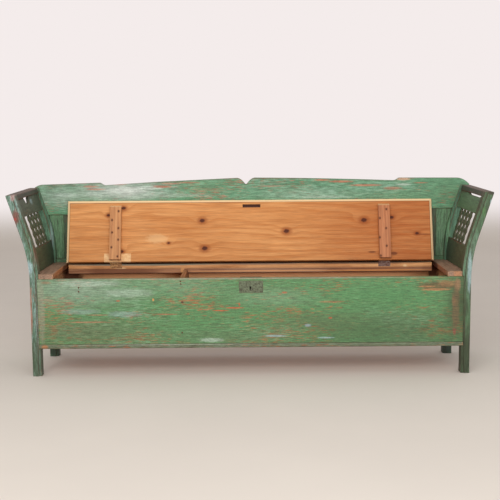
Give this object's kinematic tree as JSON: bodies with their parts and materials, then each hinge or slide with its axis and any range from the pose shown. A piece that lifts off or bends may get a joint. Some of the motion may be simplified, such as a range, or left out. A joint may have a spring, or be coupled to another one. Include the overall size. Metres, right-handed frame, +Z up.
{
  "type": "settle bench",
  "caption": "Painted wooden settle bench with flared posts, fretted arms, a notched crest rail and a box seat whose hinged lid stands open.",
  "frame": {"origin": "on the floor, under the middle of the bench's bounding box", "axes": "+X along the bench to the right of a person facing its front, +Y from the front to the back, +Z up"},
  "size_m": [2.196, 0.428, 0.8833],
  "materials": {
    "board_paint": "pine under worn green paint, satin",
    "post_paint": "pine under worn green paint, satin",
    "arm_rail_paint": "pine with the paint rubbed through, satin",
    "arm_panel_paint": "pine under dark green paint, satin",
    "panel_paint": "pine under dark green paint, satin",
    "worn_seat_paint": "pine worn taupe-brown, satin",
    "lid_pine": "aged honey pine, bare, satin",
    "inside_pine": "aged orange-brown pine, bare, dull",
    "aged_iron": "dull aged iron",
    "painted_iron": "iron plate with worn green paint"
  },
  "bodies": {
    "bench": {"arm_bottom_rail_left": "arm_panel_paint", "arm_bottom_rail_right": "arm_panel_paint", "arm_rail_left": "arm_rail_paint", "arm_rail_right": "arm_rail_paint", "arm_scalloped_rail_left": "arm_panel_paint", "arm_scalloped_rail_right": "arm_panel_paint", "arm_splat_left_1": "arm_panel_paint", "arm_splat_left_2": "arm_panel_paint", "arm_splat_left_3": "arm_panel_paint", "arm_splat_left_4": "arm_panel_paint", "arm_splat_right_1": "arm_panel_paint", "arm_splat_right_2": "arm_panel_paint", "arm_splat_right_3": "arm_panel_paint", "arm_splat_right_4": "arm_panel_paint", "back_bottom_rail": "board_paint", "back_muntin_left": "board_paint", "back_muntin_right": "board_paint", "back_panel_left": "panel_paint", "back_panel_middle": "panel_paint", "back_panel_right": "panel_paint", "back_stile_left": "board_paint", "back_stile_right": "board_paint", "box_back_board": "inside_pine", "box_end_board_left": "board_paint", "box_end_board_right": "board_paint", "crest_rail": "board_paint", "floor_board_1": "inside_pine", "floor_board_2": "inside_pine", "floor_board_3": "inside_pine", "floor_ledger_back": "inside_pine", "floor_ledger_front": "inside_pine", "front_board": "board_paint", "front_bottom_bead": "board_paint", "front_post_left": "post_paint", "front_post_right": "post_paint", "hinge_pin_left": "aged_iron", "hinge_pin_right": "aged_iron", "hinge_rail": "inside_pine", "hinge_rail_bearer": "inside_pine", "hinge_rail_leaf_left": "aged_iron", "hinge_rail_leaf_right": "aged_iron", "lock_case": "aged_iron", "lock_plate": "painted_iron", "partition": "inside_pine", "rear_post_left": "post_paint", "rear_post_right": "post_paint", "seat_end_board_left": "worn_seat_paint", "seat_end_board_right": "worn_seat_paint"},
    "seat_lid": {"hinge_lid_leaf_left": "aged_iron", "hinge_lid_leaf_right": "aged_iron", "lid": "lid_pine", "lid_batten_left": "lid_pine", "lid_batten_right": "lid_pine"},
    "bolt": {"lock_bolt": "aged_iron"}
  },
  "joints": [
    {"name": "lid_hinge", "type": "hinge", "parent": "bench", "child": "seat_lid", "pos_m": [0, 0.09725, 0.4778], "axis": [1, 0, 0], "range_deg": [0, 107.6]},
    {"name": "bolt_slide", "type": "slide", "parent": "bench", "child": "bolt", "axis": [0, 0, 1], "range_m": [0, 0.01]}
  ]
}
